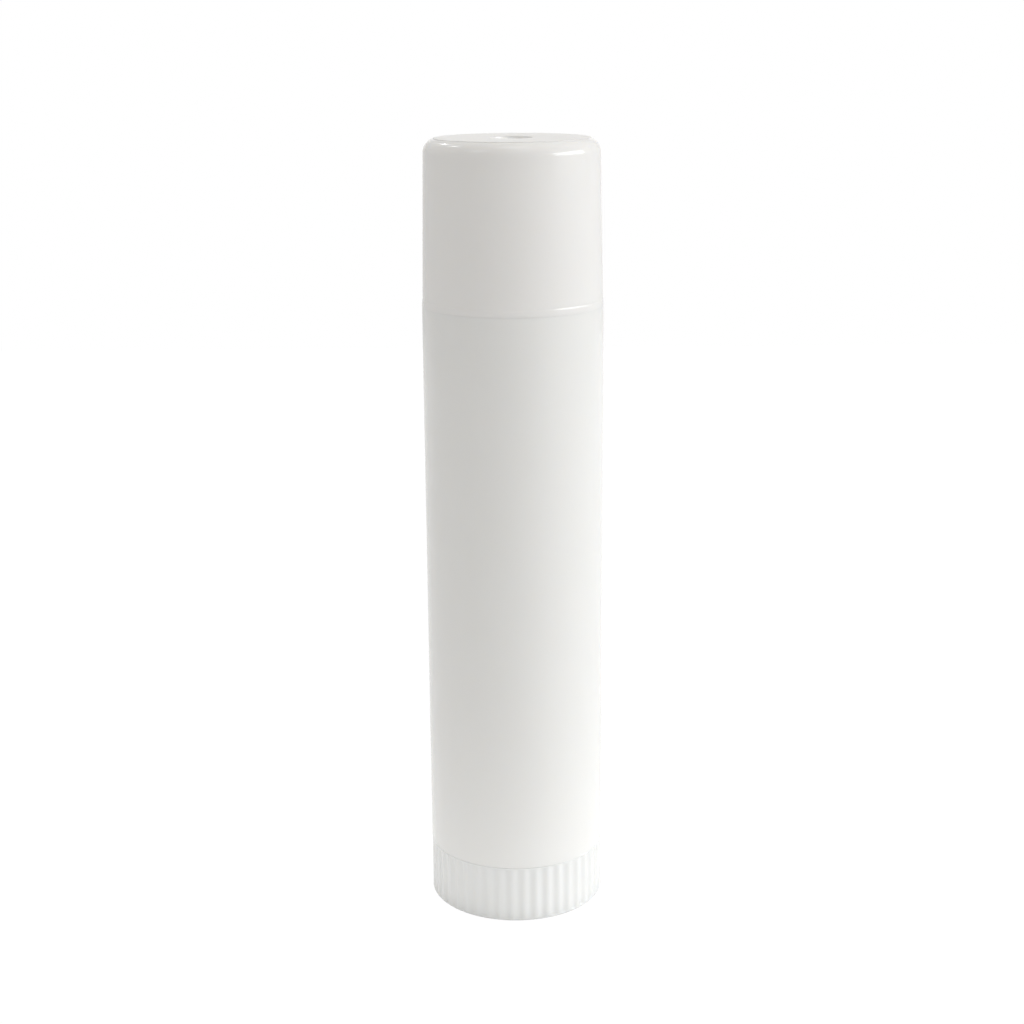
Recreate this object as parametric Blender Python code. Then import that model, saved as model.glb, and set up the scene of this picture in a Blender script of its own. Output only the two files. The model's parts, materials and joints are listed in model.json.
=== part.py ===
"""Twist-up lip balm tube: pull-off cap, barrel, hand wheel with its screw, and the cup that climbs the screw.

Metres, +Z up. The origin is the middle of the wheel's foot, and every piece is turned about the Z axis.
Turning the wheel anticlockwise as seen from above lifts the cup, because the screw is left-handed.
"""

import math

import bmesh
import bpy
from mathutils import Matrix

# Outside of the closed tube
TUBE_DIAMETER = 0.0160
TUBE_HEIGHT = 0.0700
CAP_HEIGHT = 0.0144
WHEEL_HEIGHT = 0.0053

# Clearances between pieces
SEAM_GAP = 0.0001
RUNNING_GAP = 0.0001
NECK_GAP = 0.0002
GRIP_GAP = 0.00008
THREAD_GAP = 0.00015
CUP_GAP = 0.00015
KEY_GAP = 0.00015
REST_GAP = 0.0003

# Cap
CAP_WALL = 0.00085
CAP_TOP_WALL = 0.0011
CAP_TAPER = 0.00029
CAP_EDGE_RADIUS = 0.00133
CAP_CORNER_RADIUS = 0.0005
CAP_RIM_ROUND = 0.0002
CAP_LEAD_IN = 0.00025
GATE_DIMPLE_RADIUS = 0.0017
GATE_DIMPLE_DEPTH = 0.00015
GATE_STUB_RADIUS = 0.0004
GATE_STUB_HEIGHT = 0.0001
GRIP_RIB_COUNT = 8
GRIP_RIB_WIDTH = 0.0006
GRIP_RIB_START = 0.0030

# Barrel
NECK_WALL = 0.0006
MOUTH_GAP = 0.0011
MOUTH_ROUND = 0.00025
SHOULDER_ROUND = 0.00018
BEAD_START = 0.0010
BEAD_HEIGHT = 0.0008
BEAD_SLOPE = 0.00025
LIP_HEIGHT = 0.0012
LIP_DEPTH = 0.0006
LIP_LEAD_IN = 0.0003
KEY_COUNT = 4
KEY_WIDTH = 0.0009
KEY_DEPTH = 0.0005
KEY_TOP_SETBACK = 0.0030

# Wheel
WHEEL_INSET = 0.00002
FLUTE_COUNT = 45
FLUTE_DEPTH = 0.00018
FLUTE_RUN_OUT = 0.00035
FOOT_ROUND = 0.00042
WHEEL_TOP_CHAMFER = 0.00015
WHEEL_RING_WALL = 0.0013
WHEEL_WEB = 0.0010
COLLAR_WALL = 0.0010
COLLAR_TOP_WALL = 0.0010
SNAP_OVERLAP = 0.0003
SNAP_HEIGHT = 0.0013
SNAP_CHAMFER = 0.00045
POST_RADIUS = 0.0020
POST_RECESS = 0.0008
STIFFENER_COUNT = 6
STIFFENER_WIDTH = 0.0008

# Screw
CORE_DIAMETER = 0.0027
THREAD_DIAMETER = 0.0043
THREAD_LEAD = 0.0040
THREAD_ROOT_WIDTH = 0.0015
THREAD_CREST_WIDTH = 0.0008
THREAD_SETBACK = 0.0003
THREAD_PHASE = math.radians(3.75)
ENGAGED_LENGTH = 0.0040
PLAIN_TIP = 0.0014
TIP_CHAMFER = 0.0004
ACROSS_FLATS = 0.0036

# Cup
CUP_TOP_SETBACK = 0.0013
CUP_FLOOR = 0.0012
CUP_WALL = 0.0007
CUP_DEPTH = 0.0050
CUP_CHAMFER = 0.0003
HUB_WALL = 0.0008
HUB_BELOW = 0.0040
HUB_ABOVE = 0.0028
FIN_WIDTH = 0.0006
FIN_HEIGHT = 0.0018
FLOOR_HOLE_RADIUS = 0.0006

# Mesh fineness, and how far joined shapes run into each other
ROUND_STEPS = 64
HUB_STEPS = 48
THREAD_STEPS = 16
COLUMNS_PER_FLUTE = 4
HOLE_STEPS = 8
ARC_STEPS = 4
JOIN_OVERLAP = 0.0003
CUT_OVERRUN = 0.0005
WELD_DISTANCE = 1e-6
SMOOTH_ANGLE = math.radians(35)

# Heights of the tube's main levels, from the table up
TUBE_RADIUS = TUBE_DIAMETER / 2
CAP_RIM = TUBE_HEIGHT - CAP_HEIGHT
CAP_CEILING = TUBE_HEIGHT - CAP_TOP_WALL
SHOULDER = CAP_RIM - SEAM_GAP
MOUTH = CAP_CEILING - MOUTH_GAP
BARREL_FOOT = WHEEL_HEIGHT + SEAM_GAP
LIP_TOP = BARREL_FOOT + LIP_HEIGHT
SNAP_FOOT = LIP_TOP + RUNNING_GAP
COLLAR_TOP = SNAP_FOOT + SNAP_HEIGHT
HUB_FOOT = COLLAR_TOP + REST_GAP
CUP_UNDERSIDE = HUB_FOOT + HUB_BELOW
CUP_FLOOR_TOP = CUP_UNDERSIDE + CUP_FLOOR
HUB_TOP = CUP_FLOOR_TOP + HUB_ABOVE
CUP_TOP = CUP_FLOOR_TOP + CUP_DEPTH
CUP_TRAVEL = MOUTH - CUP_TOP_SETBACK - CUP_TOP
THREAD_START = COLLAR_TOP + THREAD_SETBACK + THREAD_ROOT_WIDTH / 2
THREAD_END = HUB_FOOT + CUP_TRAVEL + ENGAGED_LENGTH
SCREW_TIP = THREAD_END + PLAIN_TIP


def cap_radius(height):
    """Outer radius of the cap, which narrows a little towards its top so that it leaves the mould."""
    return TUBE_RADIUS - CAP_TAPER * (height - CAP_RIM) / CAP_HEIGHT


def cap_bore(height):
    return cap_radius(height) - CAP_WALL


def neck_radius(height):
    """Outer radius of the barrel's neck, which follows the cap's bore."""
    return cap_bore(height) - NECK_GAP


# Radii that neighbouring pieces share
BORE = neck_radius(MOUTH) - NECK_WALL
KEY_CREST = BORE - KEY_DEPTH
LIP_RADIUS = BORE - LIP_DEPTH
JOURNAL_RADIUS = LIP_RADIUS - RUNNING_GAP
SNAP_RADIUS = LIP_RADIUS + SNAP_OVERLAP
COLLAR_BORE = JOURNAL_RADIUS - COLLAR_WALL
WHEEL_RADIUS = TUBE_RADIUS - WHEEL_INSET
RING_BORE = WHEEL_RADIUS - WHEEL_RING_WALL
CORE_RADIUS = CORE_DIAMETER / 2
THREAD_RADIUS = THREAD_DIAMETER / 2
HUB_BORE = CORE_RADIUS + THREAD_GAP
HUB_RADIUS = THREAD_RADIUS + THREAD_GAP + HUB_WALL
CUP_RADIUS = BORE - CUP_GAP
CUP_BORE = CUP_RADIUS - CUP_WALL


def plastic(name, colour, roughness):
    """Moulded polypropylene: a glossy, slightly waxy dielectric."""
    material = bpy.data.materials.new(name)
    material.use_nodes = True
    shader = material.node_tree.nodes["Principled BSDF"]
    shader.inputs["Base Color"].default_value = (*colour, 1.0)
    shader.inputs["Roughness"].default_value = roughness
    shader.inputs["Metallic"].default_value = 0.0
    return material


def arc(centre, radius, start, end):
    """Points of a quarter round, by angle in degrees, both ends included."""
    points = []
    for step in range(ARC_STEPS + 1):
        angle = math.radians(start + (end - start) * step / ARC_STEPS)
        points.append((centre[0] + radius * math.cos(angle), centre[1] + radius * math.sin(angle)))
    return points


def turned(outline, steps):
    """Spins an outline of (radius, height) points about Z. An outline that ends on the axis isn't closed there."""
    shape = bmesh.new()
    points = [shape.verts.new((radius, 0.0, height)) for radius, height in outline]
    edges = [shape.edges.new(pair) for pair in zip(points, points[1:])]
    if outline[0][0] > 0:
        edges.append(shape.edges.new((points[-1], points[0])))
    bmesh.ops.spin(shape, geom=points + edges, cent=(0, 0, 0), axis=(0, 0, 1), angle=math.tau, steps=steps)
    bmesh.ops.remove_doubles(shape, verts=shape.verts, dist=WELD_DISTANCE)
    return shape


def radial_bars(count, width, foot, head, first_angle=0.0):
    """Evenly spaced bars round Z. The foot and the head are each (height, inner radius, outer radius)."""
    shape = bmesh.new()
    for index in range(count):
        bar = bmesh.ops.create_cube(shape, size=1.0)["verts"]
        for corner in bar:
            height, inner, outer = head if corner.co.z > 0 else foot
            corner.co.x = outer if corner.co.x > 0 else inner
            corner.co.y *= width
            corner.co.z = height
        turn = Matrix.Rotation(first_angle + math.tau * index / count, 4, "Z")
        bmesh.ops.transform(shape, matrix=turn, verts=bar)
    return shape


def thread_ridge(start, end, growth=0.0):
    """A left-hand ridge round the screw's core between two heights. Growth widens it all round, for the nut's groove."""
    root_half = THREAD_ROOT_WIDTH / 2 + growth
    crest_half = THREAD_CREST_WIDTH / 2 + growth
    root = CORE_RADIUS + growth
    crest = THREAD_RADIUS + growth
    slope = (root_half - crest_half) / (crest - root)
    buried = root - JOIN_OVERLAP
    buried_half = root_half + slope * JOIN_OVERLAP
    section = [(buried, -buried_half), (crest, -crest_half), (crest, crest_half), (buried, buried_half)]
    steps = round(THREAD_STEPS * (end - start) / THREAD_LEAD)
    shape = bmesh.new()
    points = [shape.verts.new((radius, 0.0, start + rise)) for radius, rise in section]
    edges = [shape.edges.new(pair) for pair in zip(points, points[1:] + points[:1])]
    bmesh.ops.spin(
        shape,
        geom=points + edges,
        cent=(0, 0, 0),
        axis=(0, 0, 1),
        dvec=(0, 0, THREAD_LEAD / THREAD_STEPS),
        angle=-math.tau * steps / THREAD_STEPS,
        steps=steps,
    )
    bmesh.ops.holes_fill(shape, edges=[edge for edge in shape.edges if edge.is_boundary])
    bmesh.ops.rotate(shape, verts=shape.verts, matrix=Matrix.Rotation(THREAD_PHASE, 3, "Z"))
    return shape


def add_object(name, shape):
    bmesh.ops.recalc_face_normals(shape, faces=shape.faces)
    mesh = bpy.data.meshes.new(name)
    shape.to_mesh(mesh)
    shape.free()
    obj = bpy.data.objects.new(name, mesh)
    bpy.context.scene.collection.objects.link(obj)
    return obj


def add_piece(name, shape, material):
    piece = add_object(name, shape)
    piece.data.materials.append(material)
    piece.data.shade_smooth()
    piece.data.set_sharp_from_angle(angle=SMOOTH_ANGLE)
    return piece


def combine(piece, operation, name, shape):
    """Joins a shape to the piece or cuts it from the piece, with a live Boolean and a hidden tool object."""
    tool = add_object(f"{piece.name}_{name}", shape)
    tool.hide_render = True
    tool.display_type = "WIRE"
    tool.parent = piece
    tool.matrix_parent_inverse = piece.matrix_world.inverted()
    boolean = piece.modifiers.new(name, "BOOLEAN")
    boolean.operation = operation
    boolean.object = tool
    boolean.solver = "EXACT"


def stand_at(piece, height):
    """Moves the piece's origin up the axis to its own foot, with its shape left where it is."""
    piece.data.transform(Matrix.Translation((0, 0, -height)))
    piece.location.z = height
    bpy.context.view_layer.update()


def build_cap():
    """A thin cup with a softly rounded top edge, a dimple where it was gated, and ribs that grip the neck."""
    edge_height = TUBE_HEIGHT - CAP_EDGE_RADIUS
    edge_centre = (cap_radius(edge_height) - CAP_EDGE_RADIUS, edge_height)
    corner_height = CAP_CEILING - CAP_CORNER_RADIUS
    corner_centre = (cap_bore(corner_height) - CAP_CORNER_RADIUS, corner_height)
    dimple_floor = TUBE_HEIGHT - GATE_DIMPLE_DEPTH
    outline = [
        (0.0, CAP_CEILING),
        *reversed(arc(corner_centre, CAP_CORNER_RADIUS, 0, 90)),
        (cap_bore(CAP_RIM + CAP_LEAD_IN), CAP_RIM + CAP_LEAD_IN),
        (cap_bore(CAP_RIM) + CAP_LEAD_IN, CAP_RIM),
        (TUBE_RADIUS - CAP_RIM_ROUND, CAP_RIM),
        (TUBE_RADIUS, CAP_RIM + CAP_RIM_ROUND),
        *arc(edge_centre, CAP_EDGE_RADIUS, 0, 90),
        (GATE_DIMPLE_RADIUS, TUBE_HEIGHT),
        (GATE_DIMPLE_RADIUS - GATE_DIMPLE_DEPTH, dimple_floor),
        (GATE_STUB_RADIUS, dimple_floor),
        (GATE_STUB_RADIUS, dimple_floor + GATE_STUB_HEIGHT),
        (0.0, dimple_floor + GATE_STUB_HEIGHT),
    ]
    cap = add_piece("cap", turned(outline, ROUND_STEPS), plastic("cap_white", (0.86, 0.85, 0.83), 0.22))
    stand_at(cap, CAP_RIM)
    rib_foot = CAP_RIM + GRIP_RIB_START
    rib_head = CAP_CEILING + JOIN_OVERLAP
    ribs = radial_bars(
        GRIP_RIB_COUNT,
        GRIP_RIB_WIDTH,
        (rib_foot, neck_radius(rib_foot) + GRIP_GAP, cap_bore(rib_foot) + JOIN_OVERLAP),
        (rib_head, neck_radius(rib_head) + GRIP_GAP, cap_bore(rib_head) + JOIN_OVERLAP),
        math.pi / GRIP_RIB_COUNT,
    )
    combine(cap, "UNION", "grip_ribs", ribs)


def build_barrel():
    """The thick-walled sleeve: a snap lip at its foot, keys down its bore, and a necked mouth for the cap."""
    bead_foot = SHOULDER + BEAD_START
    bead_head = bead_foot + BEAD_HEIGHT
    outline = [
        (LIP_RADIUS + LIP_LEAD_IN, BARREL_FOOT),
        (TUBE_RADIUS - SHOULDER_ROUND, BARREL_FOOT),
        (TUBE_RADIUS, BARREL_FOOT + SHOULDER_ROUND),
        (TUBE_RADIUS, SHOULDER - SHOULDER_ROUND),
        (TUBE_RADIUS - SHOULDER_ROUND, SHOULDER),
        (neck_radius(SHOULDER), SHOULDER),
        (neck_radius(bead_foot), bead_foot),
        (cap_bore(bead_foot + BEAD_SLOPE) - GRIP_GAP, bead_foot + BEAD_SLOPE),
        (cap_bore(bead_head - BEAD_SLOPE) - GRIP_GAP, bead_head - BEAD_SLOPE),
        (neck_radius(bead_head), bead_head),
        (neck_radius(MOUTH - MOUTH_ROUND), MOUTH - MOUTH_ROUND),
        (neck_radius(MOUTH) - MOUTH_ROUND, MOUTH),
        (BORE, MOUTH),
        (BORE, LIP_TOP),
        (LIP_RADIUS, LIP_TOP),
        (LIP_RADIUS, BARREL_FOOT + LIP_LEAD_IN),
    ]
    barrel = add_piece("barrel", turned(outline, ROUND_STEPS), plastic("barrel_white", (0.84, 0.83, 0.81), 0.24))
    stand_at(barrel, BARREL_FOOT)
    key_foot = COLLAR_TOP + REST_GAP
    key_head = MOUTH - KEY_TOP_SETBACK
    buried = BORE + JOIN_OVERLAP
    keys = radial_bars(KEY_COUNT, KEY_WIDTH, (key_foot, KEY_CREST, buried), (key_head, KEY_CREST, buried))
    combine(barrel, "UNION", "keys", keys)


def fluted_ring():
    """The wheel's rim, with every second pair of its columns pressed in between the foot's rounding and its top."""
    outline = [
        (RING_BORE, 0.0),
        *arc((WHEEL_RADIUS - FOOT_ROUND, FOOT_ROUND), FOOT_ROUND, -90, 0)[::2],
        (WHEEL_RADIUS, FOOT_ROUND + FLUTE_RUN_OUT),
        (WHEEL_RADIUS, WHEEL_HEIGHT - WHEEL_TOP_CHAMFER),
        (WHEEL_RADIUS - WHEEL_TOP_CHAMFER, WHEEL_HEIGHT),
        (RING_BORE, WHEEL_HEIGHT),
    ]
    columns = FLUTE_COUNT * COLUMNS_PER_FLUTE
    ring = turned(outline, columns)
    skin = WHEEL_RADIUS - WHEEL_TOP_CHAMFER - WELD_DISTANCE
    for point in ring.verts:
        radius = math.hypot(point.co.x, point.co.y)
        column = round(math.atan2(point.co.y, point.co.x) / math.tau * columns)
        in_flute = column % COLUMNS_PER_FLUTE >= COLUMNS_PER_FLUTE / 2
        if in_flute and radius > skin and point.co.z > FOOT_ROUND + WELD_DISTANCE:
            point.co.x *= 1 - FLUTE_DEPTH / radius
            point.co.y *= 1 - FLUTE_DEPTH / radius
    return ring


def wheel_hub():
    """The web inside the rim and the collar above it, whose head snaps past the barrel's lip."""
    web_top = WHEEL_HEIGHT - SEAM_GAP
    outline = [
        (0.0, POST_RECESS),
        (POST_RADIUS, POST_RECESS),
        (POST_RADIUS, COLLAR_TOP - COLLAR_TOP_WALL),
        (COLLAR_BORE, COLLAR_TOP - COLLAR_TOP_WALL),
        (COLLAR_BORE, web_top - WHEEL_WEB),
        (RING_BORE + JOIN_OVERLAP, web_top - WHEEL_WEB),
        (RING_BORE + JOIN_OVERLAP, web_top),
        (JOURNAL_RADIUS, web_top),
        (JOURNAL_RADIUS, SNAP_FOOT),
        (SNAP_RADIUS, SNAP_FOOT),
        (SNAP_RADIUS, COLLAR_TOP - SNAP_CHAMFER),
        (SNAP_RADIUS - SNAP_CHAMFER, COLLAR_TOP),
        (0.0, COLLAR_TOP),
    ]
    return turned(outline, HUB_STEPS)


def build_wheel():
    """The hand wheel, moulded in one with its screw."""
    wheel = add_piece("wheel_and_screw", fluted_ring(), plastic("wheel_white", (0.85, 0.84, 0.82), 0.26))
    web_underside = WHEEL_HEIGHT - SEAM_GAP - WHEEL_WEB
    stiffeners = radial_bars(
        STIFFENER_COUNT,
        STIFFENER_WIDTH,
        (POST_RECESS + JOIN_OVERLAP, POST_RADIUS / 2, RING_BORE + JOIN_OVERLAP),
        (web_underside + JOIN_OVERLAP, POST_RADIUS / 2, RING_BORE + JOIN_OVERLAP),
    )
    core = turned(
        [
            (0.0, COLLAR_TOP - JOIN_OVERLAP),
            (CORE_RADIUS, COLLAR_TOP - JOIN_OVERLAP),
            (CORE_RADIUS, SCREW_TIP - TIP_CHAMFER),
            (CORE_RADIUS - TIP_CHAMFER, SCREW_TIP),
            (0.0, SCREW_TIP),
        ],
        THREAD_STEPS,
    )
    flats = radial_bars(
        2,
        THREAD_DIAMETER + 2 * CUT_OVERRUN,
        (COLLAR_TOP + REST_GAP / 2, ACROSS_FLATS / 2, THREAD_RADIUS + CUT_OVERRUN),
        (SCREW_TIP + CUT_OVERRUN, ACROSS_FLATS / 2, THREAD_RADIUS + CUT_OVERRUN),
    )
    combine(wheel, "UNION", "hub", wheel_hub())
    combine(wheel, "UNION", "stiffeners", stiffeners)
    combine(wheel, "UNION", "core", core)
    combine(wheel, "UNION", "thread", thread_ridge(THREAD_START, THREAD_END))
    combine(wheel, "DIFFERENCE", "mould_flats", flats)


def floor_holes():
    """Round holes in the cup's floor, between its fins, that the poured balm keys into."""
    shape = bmesh.new()
    ring = (HUB_RADIUS + CUP_BORE) / 2
    for index in range(2 * KEY_COUNT):
        angle = math.tau * (index + 0.5) / (2 * KEY_COUNT)
        place = Matrix.Translation((ring * math.cos(angle), ring * math.sin(angle), CUP_UNDERSIDE + CUP_FLOOR / 2))
        bmesh.ops.create_cone(
            shape,
            cap_ends=True,
            segments=HOLE_STEPS,
            radius1=FLOOR_HOLE_RADIUS,
            radius2=FLOOR_HOLE_RADIUS,
            depth=CUP_FLOOR + 2 * CUT_OVERRUN,
            matrix=place,
        )
    return shape


def build_cup():
    """The cup that holds the balm's foot: a nut in its middle, and a slotted wall that slides over the barrel's keys."""
    outline = [
        (HUB_BORE, HUB_FOOT),
        (HUB_RADIUS, HUB_FOOT),
        (HUB_RADIUS, CUP_UNDERSIDE),
        (CUP_RADIUS - CUP_CHAMFER, CUP_UNDERSIDE),
        (CUP_RADIUS, CUP_UNDERSIDE + CUP_CHAMFER),
        (CUP_RADIUS, CUP_TOP),
        (CUP_BORE, CUP_TOP),
        (CUP_BORE, CUP_FLOOR_TOP),
        (HUB_RADIUS, CUP_FLOOR_TOP),
        (HUB_RADIUS, HUB_TOP),
        (HUB_BORE, HUB_TOP),
    ]
    cup = add_piece("lifting_cup", turned(outline, HUB_STEPS), plastic("cup_natural", (0.88, 0.88, 0.86), 0.30))
    stand_at(cup, HUB_FOOT)
    fins = radial_bars(
        KEY_COUNT,
        FIN_WIDTH,
        (CUP_FLOOR_TOP - JOIN_OVERLAP, HUB_RADIUS - JOIN_OVERLAP, CUP_BORE + JOIN_OVERLAP),
        (CUP_FLOOR_TOP + FIN_HEIGHT, HUB_RADIUS - JOIN_OVERLAP, CUP_BORE + JOIN_OVERLAP),
        math.pi / KEY_COUNT,
    )
    slot_floor = CUP_BORE - KEY_GAP
    slot_edge = CUP_RADIUS + CUT_OVERRUN
    slots = radial_bars(
        KEY_COUNT,
        KEY_WIDTH + 2 * KEY_GAP,
        (CUP_UNDERSIDE - CUT_OVERRUN, slot_floor, slot_edge),
        (CUP_TOP + CUT_OVERRUN, slot_floor, slot_edge),
    )
    groove_turns_below = math.ceil((THREAD_START - HUB_FOOT) / THREAD_LEAD) + 1
    groove_start = THREAD_START - groove_turns_below * THREAD_LEAD
    combine(cup, "UNION", "fins", fins)
    combine(cup, "DIFFERENCE", "key_slots", slots)
    combine(cup, "DIFFERENCE", "floor_holes", floor_holes())
    combine(cup, "DIFFERENCE", "nut_groove", thread_ridge(groove_start, HUB_TOP + THREAD_LEAD, THREAD_GAP))


def clear_scene():
    for obj in list(bpy.data.objects):
        bpy.data.objects.remove(obj, do_unlink=True)


def main():
    clear_scene()
    build_wheel()
    build_barrel()
    build_cup()
    build_cap()


main()
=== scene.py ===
"""Twist-up lip balm tube, dressed in moulded plastic on a white table.

The tube stands on its hand wheel with its axis on Z. Each moulding is turned from an outline, and Geometry
Nodes make its flutes, threads and repeated ribs. It replaces the plain solid of the same piece.
"""

import json
import math

import bmesh
import bpy
from bpy.props import FloatProperty, FloatVectorProperty, IntProperty, PointerProperty
from mathutils import Matrix, Vector

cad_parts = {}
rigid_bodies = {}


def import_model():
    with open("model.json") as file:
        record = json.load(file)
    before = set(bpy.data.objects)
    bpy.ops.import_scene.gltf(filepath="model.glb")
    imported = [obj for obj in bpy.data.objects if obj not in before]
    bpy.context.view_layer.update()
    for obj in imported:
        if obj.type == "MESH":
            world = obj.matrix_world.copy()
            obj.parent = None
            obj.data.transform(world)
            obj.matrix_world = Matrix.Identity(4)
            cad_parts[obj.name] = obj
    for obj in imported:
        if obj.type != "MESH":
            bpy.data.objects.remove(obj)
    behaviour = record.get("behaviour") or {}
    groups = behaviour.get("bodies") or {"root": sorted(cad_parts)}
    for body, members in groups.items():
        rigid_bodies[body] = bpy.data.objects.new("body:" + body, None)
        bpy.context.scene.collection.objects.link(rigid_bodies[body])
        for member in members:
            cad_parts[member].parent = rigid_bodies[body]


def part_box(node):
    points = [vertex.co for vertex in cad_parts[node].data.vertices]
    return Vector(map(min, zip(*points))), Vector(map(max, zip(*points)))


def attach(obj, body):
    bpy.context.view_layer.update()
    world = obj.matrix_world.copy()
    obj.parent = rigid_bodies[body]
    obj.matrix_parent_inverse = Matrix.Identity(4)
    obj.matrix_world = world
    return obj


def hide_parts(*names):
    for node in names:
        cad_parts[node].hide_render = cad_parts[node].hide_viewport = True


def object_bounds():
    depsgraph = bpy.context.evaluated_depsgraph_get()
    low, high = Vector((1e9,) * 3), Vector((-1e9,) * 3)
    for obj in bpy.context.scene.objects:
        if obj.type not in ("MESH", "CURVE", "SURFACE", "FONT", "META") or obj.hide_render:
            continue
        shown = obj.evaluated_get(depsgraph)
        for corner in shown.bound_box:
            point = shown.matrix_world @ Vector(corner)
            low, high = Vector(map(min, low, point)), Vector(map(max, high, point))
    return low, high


bl_info = {
    "name": "Twist-up lip balm tube",
    "version": (1, 0, 0),
    "blender": (4, 5, 0),
    "location": "View3D > Sidebar > Balm tube",
    "description": "Makes the mouldings of an empty twist-up lip balm tube and the white table it stands on",
    "category": "Add Mesh",
}

for leftover in list(bpy.data.objects):
    bpy.data.objects.remove(leftover)
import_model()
FRAME_LOW, FRAME_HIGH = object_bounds()
CAP_LOW, CAP_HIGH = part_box("cap")
BARREL_LOW, BARREL_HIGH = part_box("barrel")
WHEEL_LOW, WHEEL_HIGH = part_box("wheel_and_screw")
CUP_LOW, CUP_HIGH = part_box("lifting_cup")

# Fineness of the meshes
COLUMNS = 252
FLUTE_COLUMNS = 360
ROD_COLUMNS = 72
DRILL_COLUMNS = 24
FILLET_STEP = math.radians(9)
ROW_SPACING = 0.00008
SMOOTH_ANGLE = math.radians(42)
WELD_DISTANCE = 1e-7

# How far a cutter runs past what it cuts, and a rib reaches into the wall that carries it
CUT_OVERRUN = 0.0005
JOIN_OVERLAP = 0.0003

# The gap that the plain solids keep at the cap's seam, and how far the sleeve stays inside its plain solid
SEAM_GAP = 0.0001
SLEEVE_MARGIN = 0.00001

# Fillets of the mouldings' edges, from the crispest to the fullest
PANEL_FILLET = 0.00001
CRISP = 0.00003
FINE = 0.00008
PLAIN = 0.0001
SOFT = 0.00015
FULL = 0.0002

# The plastics: sizes of their blotches, rubbed spots, flow waves and orange peel, and the waves' height
BLOTCH_SIZE = 0.00714
RUB_SIZE = 0.00238
WAVE_SIZE = 0.00435
PEEL_SIZE = 0.0003846
WAVE_HEIGHT = 0.00002

# The plastics' refraction, and how deep light gets into them, with the shares of red, green and blue
POLYOLEFIN_IOR = 1.49
LIGHT_DEPTH = 0.00025
LIGHT_SHARES = (1.0, 0.92, 0.80)

# The roughness of an unpolished mould, how far rubbing changes a roughness, and the shades of a blotch and of
# the painted shade at the panel's step
MATT = 0.38
RUBBED = (-0.04, 0.05)
BLOTCH_SHADE = 0.985
PAINTED_STEP_SHADE = 0.8

# How bright the table is where it is seen, and how far that covers its lit and shaded surface
TABLE_WHITE = 1.045
WHITE_SHARE = 0.92

# Strengths of the surround's light from low and from high up, and the sines between which it grows
LOW_LIGHT = 0.40
HIGH_LIGHT = 0.95
HIGH_FROM = (0.6, 0.95)

# What a reflection loses of the surround's white, and the cosines off straight back between which it sets in
REFLECTION_LOSS = 0.3
STRAIGHT_BACK = (0.98, 0.93)

# Lamps: name, bearing from the camera's side, elevation, distance, size, power and colour
SPOT = (0.12, 0.12)
STRIP = (0.22, 0.45)
LAMPS = (
    ("side_softbox", 81, 15, 0.9, (0.8, 0.27), 4.2, "#FBFDFF"),
    ("overhead_softbox", 10, 78, 1.2, (0.5, 0.5), 1.0, "#FFFFFF"),
    ("ceiling_lamp_0", -145, 38, 1.6, SPOT, 1.0, "#FFFFFF"),
    ("ceiling_lamp_1", -121, 48, 1.6, SPOT, 1.0, "#FFFFFF"),
    ("ceiling_lamp_2", -52, 40, 1.6, STRIP, 1.0, "#FFFFFF"),
    ("ceiling_lamp_3", 13, 47, 1.6, STRIP, 0.4, "#FFFFFF"),
)


def linear(colour):
    """Linear RGB of an sRGB hex colour such as #F0EFEA."""
    channels = [int(colour[place : place + 2], 16) / 255 for place in (1, 3, 5)]
    return [value / 12.92 if value <= 0.04045 else ((value + 0.055) / 1.055) ** 2.4 for value in channels]


def length(name, description, default):
    return FloatProperty(
        name=name, description=description, default=default, min=0.0, unit="LENGTH", precision=5
    )


def count(name, description, default):
    return IntProperty(name=name, description=description, default=default, min=1)


def shade(name, description, colour):
    return FloatVectorProperty(
        name=name, description=description, default=linear(colour), subtype="COLOR", min=0.0, max=1.0
    )


def angle(name, description, degrees):
    return FloatProperty(name=name, description=description, default=math.radians(degrees), subtype="ANGLE")


class CapSettings(bpy.types.PropertyGroup):
    rim_height: length("Rim height", "Height of the cap's open rim above the table", CAP_LOW.z)
    height: length("Top height", "Height of the cap's flat top above the table", CAP_HIGH.z)
    rim_radius: length("Rim radius", "Outer radius at the rim", CAP_HIGH.x)
    taper: length("Taper", "How much the radius shrinks from the flare to the top", 0.00027)
    wall: length("Wall", "Thickness of the side wall", 0.0008)
    top_wall: length("Top wall", "Thickness of the top", 0.0011)
    edge_radius: length("Top edge radius", "Rounding of the top's outer edge", 0.00121)
    edge_slope: angle("Top edge slope", "Slope at which the rounded edge meets the top's panel", 16)
    corner_radius: length("Inner corner radius", "Rounding between the bore and the ceiling", 0.0005)
    rim_round: length("Rim rounding", "Rounding of the rim's outer edge", 0.000008)
    flare: length("Flare", "How far the band at the rim flares out", 0.00005)
    flare_height: length("Flare height", "Height of the flared band at the rim", 0.0005)
    flare_step: length("Flare step", "Height of the slope between the wall and the flared band", 0.00012)
    lead_in: length("Lead-in", "Chamfer that guides the cap over the neck", 0.00025)
    panel_radius: length("Panel radius", "Radius of the flat panel on the top", 0.0068)
    panel_rise: length("Panel rise", "How far the panel stands above the rounded edge", 0.000045)
    dimple_radius: length("Gate dimple radius", "Radius of the dimple round the gate", 0.0018)
    dimple_depth: length("Gate dimple depth", "Depth of the dimple round the gate", 0.00025)
    stub_radius: length("Gate stub radius", "Radius of the broken gate in the dimple", 0.00035)
    rib_count: count("Grip ribs", "Ribs in the bore that grip the neck", 8)
    rib_width: length("Grip rib width", "Width of a grip rib", 0.0006)
    rib_height: length("Grip rib height", "How far a grip rib stands into the bore", 0.00012)
    rib_start: length("Grip rib start", "Height of a grip rib's foot above the rim", 0.0030)
    rib_round: length("Grip rib rounding", "Rounding of a grip rib's edges", 0.00005)


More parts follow.
